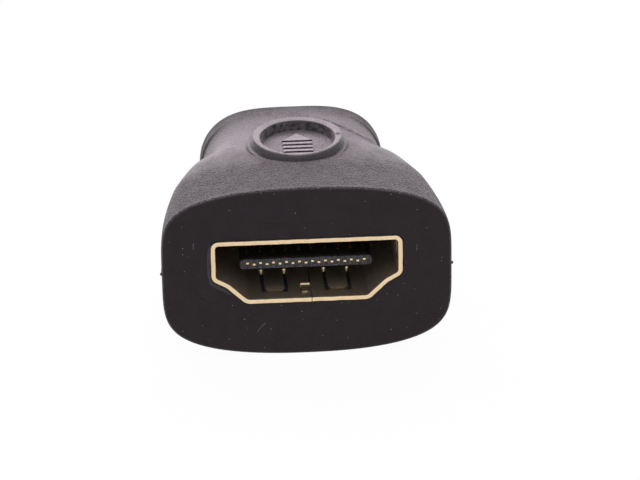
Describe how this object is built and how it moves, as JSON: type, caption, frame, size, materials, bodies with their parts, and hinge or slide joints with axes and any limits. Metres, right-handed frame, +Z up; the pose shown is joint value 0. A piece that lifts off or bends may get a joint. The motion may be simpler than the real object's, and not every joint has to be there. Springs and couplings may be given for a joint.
{
  "type": "mini hdmi adapter",
  "caption": "Stub video adapter with a full-size type A socket at one end and a small type C plug at the other, in a waisted black rubber body with a raised ring on top.",
  "frame": {"origin": "bottom centre of the bounding box: under the rubber body's middle, half-way between the socket's rim and the plug's tip", "axes": "+Y from the socket's mouth towards the plug, +Z up through the raised ring, +X to the right when looking into the socket"},
  "size_m": [0.0222, 0.0306, 0.0139],
  "materials": {
    "black_rubber": "matte, fine spark-eroded grain, smoother towards the plug",
    "natural_polythene": "natural, as moulded",
    "gold_plated_sheet": "thin gold plate on folded sheet, satin",
    "gold_plated_contact": "gold plate, satin",
    "dark_insulator": "fine matt",
    "green_board": "solder mask"
  },
  "bodies": {
    "root": {"overmould": "black_rubber", "socket_shell": "gold_plated_sheet", "socket_insulator": "dark_insulator", "socket_contact_01": "gold_plated_contact", "socket_contact_02": "gold_plated_contact", "socket_contact_03": "gold_plated_contact", "socket_contact_04": "gold_plated_contact", "socket_contact_05": "gold_plated_contact", "socket_contact_06": "gold_plated_contact", "socket_contact_07": "gold_plated_contact", "socket_contact_08": "gold_plated_contact", "socket_contact_09": "gold_plated_contact", "socket_contact_10": "gold_plated_contact", "socket_contact_11": "gold_plated_contact", "socket_contact_12": "gold_plated_contact", "socket_contact_13": "gold_plated_contact", "socket_contact_14": "gold_plated_contact", "socket_contact_15": "gold_plated_contact", "socket_contact_16": "gold_plated_contact", "socket_contact_17": "gold_plated_contact", "socket_contact_18": "gold_plated_contact", "socket_contact_19": "gold_plated_contact", "inner_mould": "natural_polythene", "circuit_board": "green_board", "plug_shell": "gold_plated_sheet", "plug_insulator": "dark_insulator", "plug_contact_01": "gold_plated_contact", "plug_contact_02": "gold_plated_contact", "plug_contact_03": "gold_plated_contact", "plug_contact_04": "gold_plated_contact", "plug_contact_05": "gold_plated_contact", "plug_contact_06": "gold_plated_contact", "plug_contact_07": "gold_plated_contact", "plug_contact_08": "gold_plated_contact", "plug_contact_09": "gold_plated_contact", "plug_contact_10": "gold_plated_contact", "plug_contact_11": "gold_plated_contact", "plug_contact_12": "gold_plated_contact", "plug_contact_13": "gold_plated_contact", "plug_contact_14": "gold_plated_contact", "plug_contact_15": "gold_plated_contact", "plug_contact_16": "gold_plated_contact", "plug_contact_17": "gold_plated_contact", "plug_contact_18": "gold_plated_contact", "plug_contact_19": "gold_plated_contact"}
  },
  "joints": []
}
